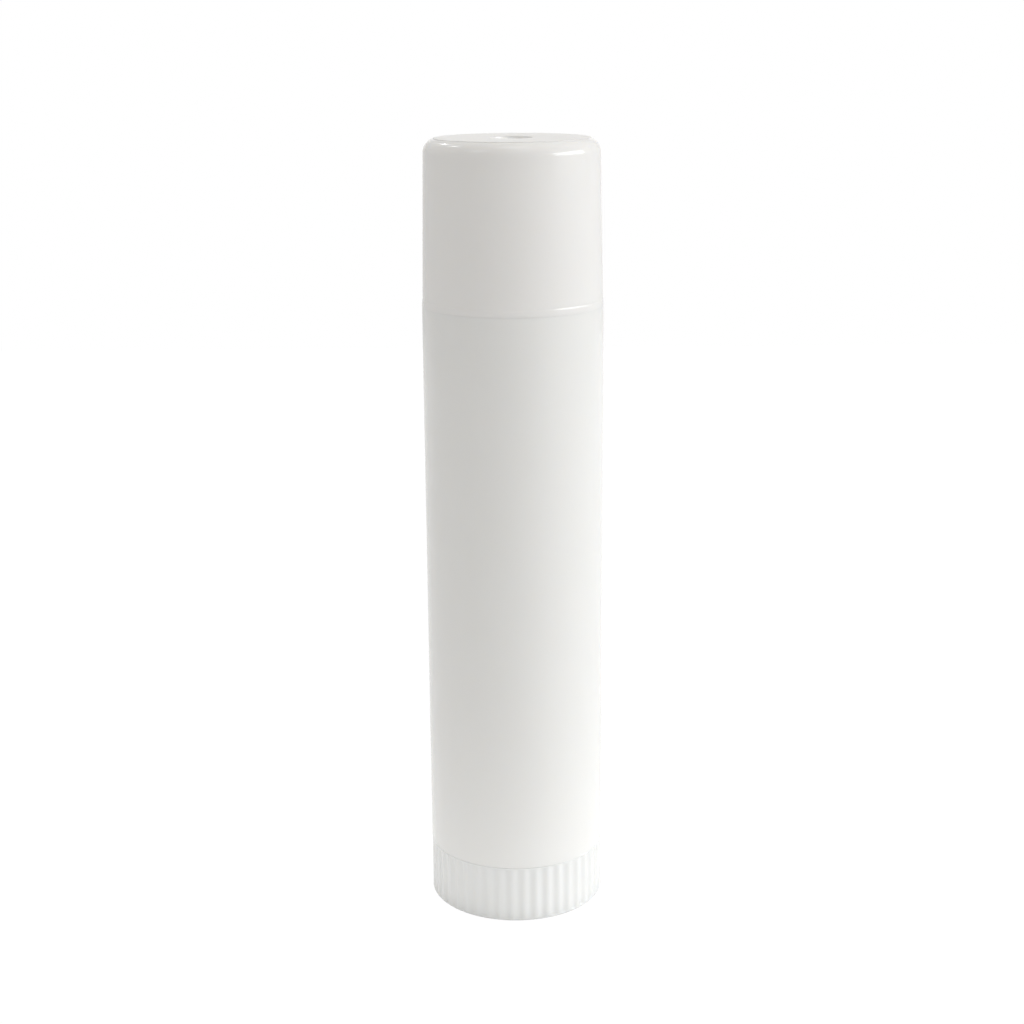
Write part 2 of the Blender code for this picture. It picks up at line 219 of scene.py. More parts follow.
class BarrelSettings(bpy.types.PropertyGroup):
    foot_height: length("Foot height", "Height of the barrel's foot above the table", BARREL_LOW.z)
    mouth_height: length("Mouth height", "Height of the barrel's mouth above the table", BARREL_HIGH.z)
    radius: length("Radius", "Outer radius below the shoulder", BARREL_HIGH.x - SLEEVE_MARGIN)
    seam: length("Seam closing", "How far the sleeve's ends reach into the plain solids' gaps", 0.000097)
    edge_round: length("Edge rounding", "Rounding of the foot's and shoulder's outer edges", 0.00001)
    neck_gap: length("Neck gap", "Gap between the neck and the cap's bore", 0.0002)
    neck_wall: length("Neck wall", "Thickness of the neck at the mouth", 0.0006)
    mouth_round: length("Mouth rounding", "Rounding of the mouth's outer edge", 0.00024)
    bead_start: length("Bead start", "Height of the bead's foot above the shoulder", 0.0010)
    bead_height: length("Bead height", "Height of the bead that the cap snaps over", 0.0008)
    bead_rise: length("Bead rise", "How far the bead stands out from the neck", 0.00012)
    bead_slope: length("Bead slope", "Height of the bead's sloping flanks", 0.00025)
    lip_height: length("Lip height", "Height of the lip in the barrel's foot", 0.0012)
    lip_depth: length("Lip depth", "How far the lip stands into the bore", 0.0006)
    lip_chamfer: length("Lip chamfer", "Chamfer at the lip's foot", 0.0003)
    key_count: count("Keys", "Keys in the bore that keep the cup from turning", 4)
    key_width: length("Key width", "Width of a key", 0.0009)
    key_depth: length("Key depth", "How far a key stands into the bore", 0.0005)
    key_start: length("Key start", "Height of a key's foot above the table", CUP_LOW.z)
    key_setback: length("Key setback", "Distance from a key's top to the mouth", 0.0030)


class WheelSettings(bpy.types.PropertyGroup):
    height: length("Height", "Height of the ribbed wheel", 0.0053)
    radius: length("Radius", "Outer radius over the ribs", WHEEL_HIGH.x)
    flute_count: count("Flutes", "Flutes pressed round the wheel", 45)
    flute_angle: angle("Flute angle", "Angle about the axis of a flute's middle", 7.2)
    flute_depth: length("Flute depth", "Depth of the flutes", 0.00012)
    flute_start: length("Flute start", "Height where the flutes begin, over the foot's rounding", 0.00015)
    flute_margin: length("Flute margin", "Distance from the flutes' upper ends to the wheel's top", 0.00008)
    flute_run_out: length("Flute run-out", "Height over which a flute reaches its depth", 0.00024)
    foot_round: length("Foot rounding", "Rounding of the foot's outer edge", 0.00025)
    top_round: length("Top rounding", "Rounding of the ribs' top edge", 0.0001)
    inner_round: length("Inner rounding", "Rounding of the foot's inner edge", 0.00012)
    step_round: length("Step rounding", "Rounding of the step between the rim and the web", 0.00004)
    ring_wall: length("Ring wall", "Thickness of the wheel's rim", 0.0013)
    web: length("Web", "Thickness of the web between rim and collar", 0.0010)
    step: length("Step", "How far the web lies under the rim's top", 0.0001)
    journal_radius: length("Journal radius", "Radius of the collar inside the barrel's lip", 0.005404)
    snap_foot: length("Snap foot", "Height of the snap ring's foot above the table", 0.0067)
    snap_radius: length("Snap radius", "Radius of the ring that snaps past the lip", 0.005804)
    snap_height: length("Snap height", "Height of the snap ring", 0.0013)
    snap_chamfer: length("Snap chamfer", "Chamfer that leads the ring past the lip", 0.00045)
    collar_wall: length("Collar wall", "Thickness of the collar's wall and top", 0.0010)
    post_radius: length("Post radius", "Radius of the post under the screw", 0.0020)
    post_recess: length("Post recess", "Height of the post's foot above the table", 0.0008)
    stiffener_count: count("Stiffeners", "Ribs under the web", 6)
    stiffener_width: length("Stiffener width", "Width of a rib under the web", 0.0008)


class ScrewSettings(bpy.types.PropertyGroup):
    foot_height: length("Foot height", "Height of the collar's top, where the screw stands", 0.0080)
    tip_height: length("Tip height", "Height of the screw's tip above the table", WHEEL_HIGH.z)
    core_radius: length("Core radius", "Radius between the threads", 0.00135)
    crest_radius: length("Crest radius", "Radius over the thread", 0.00215)
    lead: length("Lead", "Rise of the thread in one turn", 0.0040)
    root_width: length("Root width", "Width of the thread at the core", 0.0015)
    crest_width: length("Crest width", "Width of the thread at its crest", 0.0008)
    thread_start: length("Thread start", "Height of the thread's first middle line", 0.00905)
    thread_end: length("Thread end", "Height of the thread's last middle line", 0.0603)
    phase: angle("Phase", "Angle about the axis at which the thread starts", 3.75)
    run_out: length("Run-out", "Height over which the thread's ends fade", 0.0005)
    across_flats: length("Across flats", "Width across the flats that the mould leaves", 0.0036)
    tip_round: length("Tip rounding", "Rounding of the tip", 0.0004)
    thread_gap: length("Thread gap", "Clearance between the screw and the nut", 0.00015)


class CupSettings(bpy.types.PropertyGroup):
    foot_height: length("Nut foot", "Height of the nut's foot above the table", CUP_LOW.z)
    rim_height: length("Rim height", "Height of the cup's rim above the table", CUP_HIGH.z)
    radius: length("Radius", "Outer radius of the cup", 0.005954)
    wall: length("Wall", "Thickness of the cup's wall", 0.0007)
    floor: length("Floor", "Thickness of the cup's floor", 0.0012)
    depth: length("Depth", "Depth of the cup above its floor", 0.0050)
    hub_radius: length("Nut radius", "Outer radius of the nut", 0.0031)
    hub_rise: length("Nut rise", "How far the nut stands above the floor", 0.0028)
    edge_round: length("Edge rounding", "Rounding of the cup's edges", 0.00012)
    foot_round: length("Foot rounding", "Rounding of the floor's outer edge", 0.0003)
    key_gap: length("Key gap", "Clearance between a key and its slot", 0.00015)
    fin_width: length("Fin width", "Width of a fin on the floor", 0.0006)
    fin_height: length("Fin height", "Height of a fin above the floor", 0.0018)
    hole_count: count("Floor holes", "Holes that the poured balm keys into", 8)
    hole_radius: length("Hole radius", "Radius of a hole in the floor", 0.0006)


class PlasticSettings(bpy.types.PropertyGroup):
    cap: shade("Cap", "White polypropylene of the cap", "#F2F1EF")
    barrel: shade("Barrel", "White polypropylene of the barrel", "#EFEFED")
    wheel: shade("Wheel", "White polypropylene of the wheel and its screw", "#EBECEB")
    cup: shade("Cup", "Natural polyethylene of the cup", "#ECEAE2")


class StageSettings(bpy.types.PropertyGroup):
    table: shade("Table", "Colour of the table", "#F2F2F2")
    table_size: length("Table size", "Side of the square table", 0.6)
    # Painted light: the table glows round the tube to light its foot, and the glow fades out near the foot as
    # a painted contact shadow
    table_glow: FloatProperty(
        name="Table glow",
        description="Light that the lit table gives off round the tube's foot",
        default=0.4,
        min=0.0,
    )
    glow_full: length("Full glow", "Distance from the axis out to which the table glows fully", 0.015)
    glow_end: length("Glow end", "Distance from the axis at which the table's glow ends", 0.045)
    glow_start: length("Glow start", "Distance from the axis at which the glow is clear of the foot", 0.0105)
    camera_distance: length("Camera distance", "Level distance from the camera to the tube's axis", 0.15863)
    camera_height: length("Camera height", "Height of the camera above the table", 0.07905)
    camera_side: length("Camera side", "How far the camera stands to the right of the axis", 0.00049)
    camera_pitch: angle("Camera pitch", "How far the camera looks down", 14.953)
    camera_yaw: angle("Camera yaw", "How far the camera is turned to the right", -0.254)
    camera_roll: angle("Camera roll", "How far the camera is tilted about its own axis", -0.416)
    camera_lens: FloatProperty(
        name="Camera lens", description="Focal length on a 36 mm wide sensor, in millimetres", default=63.69
    )


GROUPS = {
    "balm_cap": CapSettings,
    "balm_barrel": BarrelSettings,
    "balm_wheel": WheelSettings,
    "balm_screw": ScrewSettings,
    "balm_cup": CupSettings,
    "balm_plastic": PlasticSettings,
    "balm_stage": StageSettings,
}


# Outlines and turned blanks

def rounded(corners):
    """Points of an outline of (radius, height, fillet) corners. The first and last corner stay sharp."""
    points = [Vector(corners[0][:2])]
    for last, (radius, height, fillet), following in zip(corners, corners[1:], corners[2:]):
        corner = Vector((radius, height))
        if fillet == 0:
            points.append(corner)
            continue
        back = (Vector(last[:2]) - corner).normalized()
        ahead = (Vector(following[:2]) - corner).normalized()
        half = back.angle(ahead) / 2
        centre = corner + (back + ahead).normalized() * fillet / math.sin(half)
        start = corner + back * fillet / math.tan(half) - centre
        end = corner + ahead * fillet / math.tan(half) - centre
        turn = math.atan2(start.x * end.y - start.y * end.x, start.dot(end))
        steps = max(2, math.ceil(abs(turn) / FILLET_STEP))
        for step in range(steps + 1):
            points.append(centre + Matrix.Rotation(turn * step / steps, 2) @ start)
    points.append(Vector(corners[-1][:2]))
    return points


def with_rows(points, heights, radii, spacing=ROW_SPACING):
    """The same outline with more points between two heights and two radii, for a rule that shapes them."""
    split = [points[0]]
    for point in points[1:]:
        last = split[-1]
        rise = point.y - last.y
        within = radii[0] <= min(point.x, last.x) and max(point.x, last.x) <= radii[1]
        if abs(rise) > spacing and within:
            start, end = sorted(min(max((level - last.y) / rise, 0.0), 1.0) for level in heights)
            rows = math.ceil((end - start) * abs(rise) / spacing)
            shares = [start + (end - start) * row / rows for row in range(rows + 1)] if rows else []
            split += [last.lerp(point, share) for share in shares if 0.001 < share < 0.999]
        split.append(point)
    return split


def turned(name, points, columns):
    """An object turned about Z from an outline that ends on the axis, or that closes on itself."""
    shape = bmesh.new()
    verts = [shape.verts.new((point.x, 0.0, point.y)) for point in points]
    edges = [shape.edges.new(pair) for pair in zip(verts, verts[1:])]
    if points[0].x > WELD_DISTANCE:
        edges.append(shape.edges.new((verts[-1], verts[0])))
    bmesh.ops.spin(shape, geom=verts + edges, cent=(0, 0, 0), axis=(0, 0, 1), angle=math.tau, steps=columns)
    bmesh.ops.remove_doubles(shape, verts=shape.verts, dist=WELD_DISTANCE)
    return add_object(name, shape)


def bar(name, width, corners, rounding):
    """A bar across the X axis: an outline of (radius, height) corners with a width, its edges rounded."""
    shape = bmesh.new()
    face = shape.faces.new([shape.verts.new((radius, -width / 2, height)) for radius, height in corners])
    swept = bmesh.ops.extrude_face_region(shape, geom=[face])["geom"]
    moved = [item for item in swept if isinstance(item, bmesh.types.BMVert)]
    bmesh.ops.translate(shape, vec=(0, width, 0), verts=moved)
    if rounding:
        bmesh.ops.bevel(shape, geom=shape.edges, offset=rounding, segments=3, profile=0.5, affect="EDGES")
    return add_object(name, shape)


def add_object(name, shape):
    bmesh.ops.recalc_face_normals(shape, faces=shape.faces)
    mesh = bpy.data.meshes.new(name)
    shape.to_mesh(mesh)
    shape.free()
    piece = bpy.data.objects.new(name, mesh)
    bpy.context.scene.collection.objects.link(piece)
    return piece


def settle(piece):
    """Replaces the piece's mesh by what its modifiers make of it, and removes them."""
    bpy.context.view_layer.update()
    graph = bpy.context.evaluated_depsgraph_get()
    mesh = bpy.data.meshes.new_from_object(piece.evaluated_get(graph))
    piece.modifiers.clear()
    piece.data = mesh


def combine(piece, operation, tool):
    boolean = piece.modifiers.new(operation, "BOOLEAN")
    boolean.operation = operation
    boolean.object = tool
    boolean.solver = "EXACT"
    settle(piece)
    bpy.data.objects.remove(tool)


# Geometry Nodes

def add_node(tree, kind, inputs=(), **settings):
    """Adds a node with its settings. An input is a value, an output, or a node that gives its first output."""
    node = tree.nodes.new(kind)
    for name, value in settings.items():
        setattr(node, name, value)
    for key, value in dict(inputs).items():
        source = value.outputs[0] if isinstance(value, bpy.types.Node) else value
        if isinstance(source, bpy.types.NodeSocket):
            tree.links.new(source, node.inputs[key])
        else:
            node.inputs[key].default_value = source
    return node


def new_tree(name, *numbers):
    """A geometry tree with a shape in and out, these numbers and a material, and its input node's outputs."""
    tree = bpy.data.node_groups.new(name, "GeometryNodeTree")
    tree.interface.new_socket("Geometry", in_out="OUTPUT", socket_type="NodeSocketGeometry")
    tree.interface.new_socket("Geometry", in_out="INPUT", socket_type="NodeSocketGeometry")
    for label in numbers:
        kind = "NodeSocketInt" if label == "Count" else "NodeSocketFloat"
        tree.interface.new_socket(label, in_out="INPUT", socket_type=kind)
    tree.interface.new_socket("Material", in_out="INPUT", socket_type="NodeSocketMaterial")
    return tree, tree.nodes.new("NodeGroupInput").outputs


def end_tree(tree, geometry, material):
    realized = add_node(tree, "GeometryNodeRealizeInstances", {"Geometry": geometry})
    painted = add_node(tree, "GeometryNodeSetMaterial", {"Geometry": realized, "Material": material})
    add_node(tree, "NodeGroupOutput", {"Geometry": painted})
    return tree


def run_tree(piece, tree, material, **values):
    """Runs a tree on the piece with these inputs, named with underscores for spaces, and keeps the result."""
    modifier = piece.modifiers.new(tree.name, "NODES")
    modifier.node_group = tree
    values["Material"] = material
    for item in tree.interface.items_tree:
        key = item.name.replace(" ", "_")
        if item.in_out == "INPUT" and key in values:
            modifier[item.identifier] = values[key]
    settle(piece)


def repeat_tree():
    """Repeats the incoming shape round the Z axis."""
    tree, given = new_tree("Repeat round the axis", "Count", "First Angle")
    points = add_node(tree, "GeometryNodeMeshLine", {"Count": given["Count"], "Offset": (0, 0, 0)})
    index = add_node(tree, "GeometryNodeInputIndex")
    pitch = add_node(tree, "ShaderNodeMath", {0: math.tau, 1: given["Count"]}, operation="DIVIDE")
    turn = add_node(
        tree, "ShaderNodeMath", {0: index, 1: pitch, 2: given["First Angle"]}, operation="MULTIPLY_ADD"
    )
    rotation = add_node(tree, "ShaderNodeCombineXYZ", {"Z": turn})
    copies = add_node(
        tree,
        "GeometryNodeInstanceOnPoints",
        {"Points": points, "Instance": given["Geometry"], "Rotation": rotation},
    )
    return end_tree(tree, copies, given["Material"])


def polar_nodes(tree):
    """Each point's outward direction, radius, angle about Z and height."""
    position = add_node(tree, "GeometryNodeInputPosition")
    x, y, z = add_node(tree, "ShaderNodeSeparateXYZ", {0: position}).outputs
    level = add_node(tree, "ShaderNodeCombineXYZ", {"X": x, "Y": y})
    radius = add_node(tree, "ShaderNodeVectorMath", {0: level}, operation="LENGTH")
    outward = add_node(tree, "ShaderNodeVectorMath", {0: level}, operation="NORMALIZE")
    about = add_node(tree, "ShaderNodeMath", {0: y, 1: x}, operation="ARCTAN2")
    return outward, radius.outputs["Value"], about, z


def run_out(tree, given, height, share):
    """The share, brought down to nothing over the run-outs inside the start's and the end's heights."""
    for limit, inwards in (("Start", "ADD"), ("End", "SUBTRACT")):
        full = add_node(tree, "ShaderNodeMath", {0: given[limit], 1: given["Run Out"]}, operation=inwards)
        ramp = add_node(
            tree,
            "ShaderNodeMapRange",
            {"Value": height, "From Min": given[limit], "From Max": full},
            interpolation_type="SMOOTHSTEP",
        )
        share = add_node(tree, "ShaderNodeMath", {0: share, 1: ramp}, operation="MULTIPLY")
    return share


def flute_tree():
    """Presses round-bottomed flutes into the outside of a turned rim."""
    numbers = ("Count", "First Angle", "Depth", "Start", "End", "Run Out", "Skin")
    tree, given = new_tree("Press flutes", *numbers)
    outward, radius, about, height = polar_nodes(tree)
    passed = add_node(tree, "ShaderNodeMath", {0: about, 1: given["First Angle"]}, operation="SUBTRACT")
    phase = add_node(tree, "ShaderNodeMath", {0: passed, 1: given["Count"]}, operation="MULTIPLY")
    wave = add_node(tree, "ShaderNodeMath", {0: phase}, operation="COSINE")
    valley = add_node(tree, "ShaderNodeMapRange", {"Value": wave, "From Min": -1.0, "From Max": 1.0})
    outside = add_node(tree, "ShaderNodeMath", {0: radius, 1: given["Skin"]}, operation="GREATER_THAN")
    share = add_node(tree, "ShaderNodeMath", {0: outside, 1: valley}, operation="MULTIPLY")
    share = run_out(tree, given, height, share)
    depth = add_node(tree, "ShaderNodeMath", {0: share, 1: given["Depth"]}, operation="MULTIPLY")
    inward = add_node(tree, "ShaderNodeMath", {0: depth, 1: -1.0}, operation="MULTIPLY")
    offset = add_node(tree, "ShaderNodeVectorMath", {0: outward, "Scale": inward}, operation="SCALE")
    pressed = add_node(tree, "GeometryNodeSetPosition", {"Geometry": given["Geometry"], "Offset": offset})
    return end_tree(tree, pressed, given["Material"])


def thread_tree():
    """Raises a left-hand thread on every point within reach of the axis: on a rod, or in a nut's bore."""
    heights = ("Lead", "Phase", "Start", "End", "Run Out")
    widths = ("Root Width", "Crest Width", "Rise", "Reach", "Half Flats")
    tree, given = new_tree("Raise thread", *heights, *widths)
    outward, radius, about, height = polar_nodes(tree)
    turned_by = add_node(tree, "ShaderNodeMath", {0: about, 1: given["Phase"]}, operation="SUBTRACT")
    part = add_node(tree, "ShaderNodeMath", {0: turned_by, 1: math.tau}, operation="DIVIDE")
    climbed = add_node(tree, "ShaderNodeMath", {0: height, 1: given["Start"]}, operation="SUBTRACT")
    turns = add_node(tree, "ShaderNodeMath", {0: climbed, 1: given["Lead"]}, operation="DIVIDE")
    phase = add_node(tree, "ShaderNodeMath", {0: turns, 1: part}, operation="ADD")
    ridge = add_node(tree, "ShaderNodeMath", {0: phase}, operation="ROUND")
    away = add_node(tree, "ShaderNodeMath", {0: phase, 1: ridge}, operation="SUBTRACT")
    apart = add_node(tree, "ShaderNodeMath", {0: away}, operation="ABSOLUTE")
    distance = add_node(tree, "ShaderNodeMath", {0: apart, 1: given["Lead"]}, operation="MULTIPLY")
    root_half = add_node(tree, "ShaderNodeMath", {0: given["Root Width"], 1: 0.5}, operation="MULTIPLY")
    crest_half = add_node(tree, "ShaderNodeMath", {0: given["Crest Width"], 1: 0.5}, operation="MULTIPLY")
    flank = add_node(
        tree,
        "ShaderNodeMapRange",
        {"Value": distance, "From Min": root_half, "From Max": crest_half},
        interpolation_type="SMOOTHSTEP",
    )
    middle_turn = add_node(tree, "ShaderNodeMath", {0: ridge, 1: part}, operation="SUBTRACT")
    middle = add_node(
        tree,
        "ShaderNodeMath",
        {0: middle_turn, 1: given["Lead"], 2: given["Start"]},
        operation="MULTIPLY_ADD",
    )
    near = add_node(tree, "ShaderNodeMath", {0: radius, 1: given["Reach"]}, operation="LESS_THAN")
    share = add_node(tree, "ShaderNodeMath", {0: near, 1: flank}, operation="MULTIPLY")
    share = run_out(tree, given, middle, share)
    rise = add_node(tree, "ShaderNodeMath", {0: share, 1: given["Rise"]}, operation="MULTIPLY")
    offset = add_node(tree, "ShaderNodeVectorMath", {0: outward, "Scale": rise}, operation="SCALE")
    raised = add_node(tree, "GeometryNodeSetPosition", {"Geometry": given["Geometry"], "Offset": offset})
    position = add_node(tree, "GeometryNodeInputPosition")
    x, y, z = add_node(tree, "ShaderNodeSeparateXYZ", {0: position}).outputs
    other_flat = add_node(tree, "ShaderNodeMath", {0: given["Half Flats"], 1: -1.0}, operation="MULTIPLY")
    flat = add_node(tree, "ShaderNodeClamp", {"Value": x, "Min": other_flat, "Max": given["Half Flats"]})
    flattened = add_node(tree, "ShaderNodeCombineXYZ", {"X": flat, "Y": y, "Z": z})
    cut = add_node(tree, "GeometryNodeSetPosition", {"Geometry": raised, "Position": flattened})
    return end_tree(tree, cut, given["Material"])


def repeat_onto(piece, operation, part, material, number, first_angle=0.0):
    """Repeats the part round the axis, and joins it to the piece or cuts it out."""
    run_tree(part, trees()["repeat"], material, Count=number, First_Angle=first_angle)
    combine(piece, operation, part)


# Plastics

def paint(colour, share=1.0):
    """The colour as a socket takes it, or a share of it for a darker shade."""
    return (*(share * channel for channel in colour), 1.0)


def moulded_plastic(name, colour, roughness, peel, translucency, step=(1.0, 1.0)):
    """Injection-moulded polyolefin: a waxy gloss over a body that lets a little light through.

    The steel's polish leaves a fine orange peel, and the melt's flow and shrinkage leave broad, faint waves,
    which make its reflections wander. The peel is drawn coarser than the real tenth of a millimetre so that
    it shows. The mould's end insert isn't polished, so what lies above the step's two heights is duller, and
    the band between them is darkened as painted shade, standing in for the shade in the crease at the step.
    The default step lies far above the tube.
    """
    material = bpy.data.materials.new(name)
    material.use_nodes = True
    tree = material.node_tree
    shader = tree.nodes["Principled BSDF"]
    shader.inputs["IOR"].default_value = POLYOLEFIN_IOR
    shader.inputs["Subsurface Weight"].default_value = translucency
    shader.inputs["Subsurface Radius"].default_value = LIGHT_SHARES
    shader.inputs["Subsurface Scale"].default_value = LIGHT_DEPTH
    place = add_node(tree, "ShaderNodeTexCoord").outputs["Object"]
    blotches = add_node(
        tree, "ShaderNodeTexNoise", {"Vector": place, "Scale": 1 / BLOTCH_SIZE, "Detail": 3.0}
    )
    tint = add_node(
        tree,
        "ShaderNodeMix",
        {"Factor": blotches, "A": paint(colour, BLOTCH_SHADE), "B": paint(colour)},
        data_type="RGBA",
    )
    level = add_node(tree, "ShaderNodeSeparateXYZ", {0: place}).outputs[2]
    beside = add_node(tree, "ShaderNodeMath", {0: level, 1: step[0]}, operation="GREATER_THAN")
    above = add_node(tree, "ShaderNodeMath", {0: level, 1: step[1]}, operation="GREATER_THAN")
    between = add_node(tree, "ShaderNodeMath", {0: beside, 1: above}, operation="SUBTRACT")
    # Painted shade: between the step's two heights the colour is darkened, standing in for the shade in the
    # crease round the cap's panel
    painted_step = add_node(
        tree,
        "ShaderNodeMix",
        {"Factor": between, "A": tint.outputs["Result"], "B": paint(colour, PAINTED_STEP_SHADE)},
        data_type="RGBA",
    )
    tree.links.new(painted_step.outputs["Result"], shader.inputs["Base Color"])
    rubbed = add_node(
        tree,
        "ShaderNodeTexNoise",
        {"Vector": place, "Scale": 1 / RUB_SIZE, "Detail": 5.0, "Roughness": 0.6},
    )
    gloss = add_node(
        tree,
        "ShaderNodeMapRange",
        {"Value": rubbed, "To Min": roughness + RUBBED[0], "To Max": roughness + RUBBED[1]},
    )
    dulled = add_node(tree, "ShaderNodeMapRange", {"Value": beside, "To Min": gloss, "To Max": MATT})
    tree.links.new(dulled.outputs["Result"], shader.inputs["Roughness"])
    stretched = add_node(tree, "ShaderNodeMapping", {"Vector": place, "Scale": (1.0, 1.0, 0.35)})
    flow = add_node(tree, "ShaderNodeTexNoise", {"Vector": stretched, "Scale": 1 / WAVE_SIZE, "Detail": 1.0})
    waves = add_node(tree, "ShaderNodeBump", {"Strength": 1.0, "Distance": WAVE_HEIGHT, "Height": flow})
    grain = add_node(tree, "ShaderNodeTexNoise", {"Vector": place, "Scale": 1 / PEEL_SIZE, "Detail": 2.0})
    skin = add_node(
        tree, "ShaderNodeBump", {"Strength": 1.0, "Distance": peel, "Height": grain, "Normal": waves}
    )
    tree.links.new(skin.outputs["Normal"], shader.inputs["Normal"])
    return material


def finish_piece(piece, material, body, node):
    """Gives the piece its plastic and its shading, and lets it ride in place of the plain solid."""
    piece.data.materials.clear()
    piece.data.materials.append(material)
    piece.data.shade_smooth()
    piece.data.set_sharp_from_angle(angle=SMOOTH_ANGLE)
    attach(piece, body)
    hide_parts(node)


def cap_radius(cap, height):
    """Outer radius of the tapered cap at a height above its flared rim."""
    return cap.rim_radius - cap.flare - cap.taper * (height - cap.rim_height) / (cap.height - cap.rim_height)


def bore_radius(cap, height):
    return cap_radius(cap, height) - cap.wall


def neck_radius(scene, height):
    return bore_radius(scene.balm_cap, height) - scene.balm_barrel.neck_gap


def barrel_bore(scene):
    return neck_radius(scene, scene.balm_barrel.mouth_height) - scene.balm_barrel.neck_wall


class BALM_OT_cap(bpy.types.Operator):
    """Make the cap: a thin tapered cup with a soft top edge, a gate dimple and grip ribs inside."""

    bl_idname = "balm.cap"
    bl_label = "Cap"

    def execute(self, context):
        cap = context.scene.balm_cap
        rim, top = cap.rim_height, cap.height
        ceiling = top - cap.top_wall
        band_top = rim + cap.flare_height
        edge_top = top - cap.panel_rise
        edge_fall = (cap_radius(cap, top) - cap.panel_radius) * math.tan(cap.edge_slope)
        dimple = top - cap.dimple_depth
        stub = dimple + cap.dimple_depth / 2
        corners = [
            (0.0, ceiling, 0.0),
            (bore_radius(cap, ceiling), ceiling, cap.corner_radius),
            (bore_radius(cap, rim + cap.lead_in), rim + cap.lead_in, PLAIN),
            (bore_radius(cap, rim) + cap.lead_in, rim, FINE),
            (cap.rim_radius, rim, cap.rim_round),
            (cap_radius(cap, band_top) + cap.flare / 2, band_top, PLAIN),
            (cap_radius(cap, band_top + cap.flare_step), band_top + cap.flare_step, PLAIN),
            (cap_radius(cap, top), edge_top - edge_fall, cap.edge_radius),
            (cap.panel_radius, edge_top, 0.0),
            (cap.panel_radius - cap.panel_rise / 4, top, PANEL_FILLET),
            (cap.dimple_radius, top, CRISP),
            (cap.dimple_radius - cap.dimple_depth / 5, dimple, FINE),
            (cap.stub_radius, dimple, CRISP),
            (cap.stub_radius * 0.8, stub, CRISP),
            (0.0, stub, 0.0),
        ]
        piece = turned("cap_shell", rounded(corners), COLUMNS)
        foot = rim + cap.rib_start
        head = ceiling + JOIN_OVERLAP
        rib = bar(
            "grip_rib",
            cap.rib_width,
            [
                (bore_radius(cap, foot) + JOIN_OVERLAP, foot),
                (bore_radius(cap, foot), foot),
                (bore_radius(cap, foot + cap.rib_width) - cap.rib_height, foot + cap.rib_width),
                (bore_radius(cap, head) - cap.rib_height, head),
                (bore_radius(cap, head) + JOIN_OVERLAP, head),
            ],
            cap.rib_round,
        )
        plastic = plastics(context.scene)["cap"]
        repeat_onto(piece, "UNION", rib, plastic, cap.rib_count, math.pi / cap.rib_count)
        finish_piece(piece, plastic, "cap", "cap")
        return {"FINISHED"}


class BALM_OT_barrel(bpy.types.Operator):
    """Make the barrel: a sleeve with a necked mouth, a bead for the cap, keys in its bore and a lip."""

    bl_idname = "balm.barrel"
    bl_label = "Barrel"

    def execute(self, context):
        scene = context.scene
        barrel = scene.balm_barrel
        foot = barrel.foot_height - barrel.seam
        shoulder = scene.balm_cap.rim_height - SEAM_GAP + barrel.seam
        mouth = barrel.mouth_height
        bore = barrel_bore(scene)
        lip = bore - barrel.lip_depth
        lip_top = barrel.foot_height + barrel.lip_height
        bead_foot = scene.balm_cap.rim_height + barrel.bead_start
        bead_head = bead_foot + barrel.bead_height
        bead = neck_radius(scene, bead_foot) + barrel.bead_rise
        middle = (lip_top + mouth) / 2
        corners = [
            (bore, middle, 0.0),
            (bore, lip_top, PLAIN),
            (lip, lip_top, PLAIN),
            (lip, barrel.foot_height + barrel.lip_chamfer, PLAIN),
            (lip + barrel.lip_chamfer, foot, PLAIN),
            (barrel.radius, foot, barrel.edge_round),
            (barrel.radius, shoulder, barrel.edge_round),
            (neck_radius(scene, shoulder), shoulder, PLAIN),
            (neck_radius(scene, bead_foot), bead_foot, FULL),
            (bead, bead_foot + barrel.bead_slope, FULL),
            (bead, bead_head - barrel.bead_slope, FULL),
            (neck_radius(scene, bead_head), bead_head, FULL),
            (neck_radius(scene, mouth), mouth, barrel.mouth_round),
            (bore, mouth, FULL),
            (bore, middle, 0.0),
        ]
        piece = turned("barrel_sleeve", rounded(corners)[:-1], COLUMNS)
        buried = bore + JOIN_OVERLAP
        crest = bore - barrel.key_depth
        head = mouth - barrel.key_setback
        key = bar(
            "key",
            barrel.key_width,
            [
                (buried, barrel.key_start),
                (crest, barrel.key_start),
                (crest, head - barrel.key_depth / 2),
                (bore - barrel.key_depth / 4, head),
                (buried, head),
            ],
            FINE,
        )
        plastic = plastics(scene)["barrel"]
        repeat_onto(piece, "UNION", key, plastic, barrel.key_count)
        finish_piece(piece, plastic, "barrel", "barrel")
        return {"FINISHED"}


